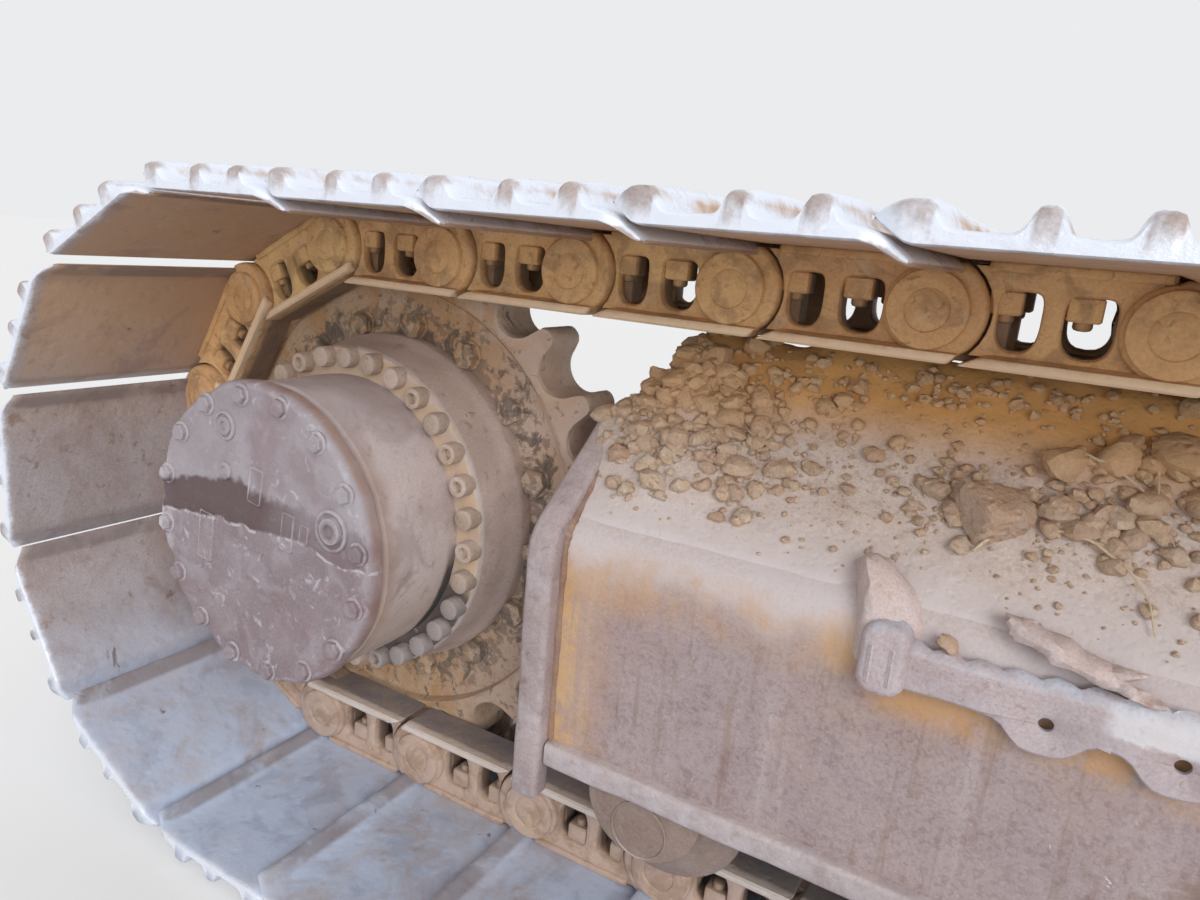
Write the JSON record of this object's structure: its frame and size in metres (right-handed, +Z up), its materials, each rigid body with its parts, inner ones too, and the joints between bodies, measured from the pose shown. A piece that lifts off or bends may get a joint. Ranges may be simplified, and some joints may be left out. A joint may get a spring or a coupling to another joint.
{
  "type": "crawler track unit",
  "caption": "Right-hand crawler side frame of a large excavator: welded box frame, geared drive and toothed sprocket, idler, rollers and a shoed chain loop",
  "frame": {"origin": "On the ground, midway between the two axles, in the chain's centre plane", "axes": "X runs from the drive sprocket to the idler, Y runs inboard toward the machine, Z is up"},
  "size_m": [5.108, 0.8, 0.9639],
  "materials": {
    "frame_paint": "worn paint over rust with grey dust",
    "frame_edge": "worn orange-yellow paint at the edge",
    "cast_housing": "dusty cast iron",
    "drive_flange": "dusty brown casting",
    "drive_drum": "dusty mauve-grey casting",
    "drive_cover": "scuffed purplish-grey casting",
    "sprocket_steel": "tan mud over cast steel",
    "roller_steel": "rusty forged steel",
    "shaft_steel": "dull machined steel",
    "rod_chrome": "plated rod",
    "pad_steel": "machined pad",
    "step_steel": "rusty torn sheet steel",
    "chain_steel": "rusty forged links with worn rails",
    "shoe_steel": "worn steel, polished at the edges"
  },
  "bodies": {
    "frame": {"frame_box": "frame_paint", "frame_rear_rim": "frame_edge", "frame_rear_bulkhead": "frame_paint", "frame_front_bulkhead": "frame_paint", "roller_rails": "frame_paint", "drive_plate": "frame_paint", "travel_motor": "cast_housing", "motor_valve_block": "cast_housing", "final_drive_hub": "cast_housing", "final_drive_flange": "drive_flange", "final_drive_drum": "drive_drum", "final_drive_cover": "drive_cover", "sprocket": "sprocket_steel", "track_rollers": "roller_steel", "roller_shafts": "shaft_steel", "roller_collars": "roller_steel", "carrier_rollers": "roller_steel", "carrier_brackets": "frame_paint", "track_guides": "frame_paint", "idler_rails": "frame_paint", "idler_axle": "shaft_steel", "idler_blocks": "roller_steel", "idler_yoke": "roller_steel", "adjuster_rod": "rod_chrome", "carbody_pads": "pad_steel", "step_bracket": "step_steel", "track_chain": "chain_steel", "track_shoes": "shoe_steel"},
    "idler": {"idler_wheel": "roller_steel"}
  },
  "joints": [
    {"name": "idler_spin", "type": "hinge", "parent": "frame", "child": "idler", "pos_m": [2.07856, 0, 0.48193], "axis": [0, 1, 0], "continuous": true}
  ]
}
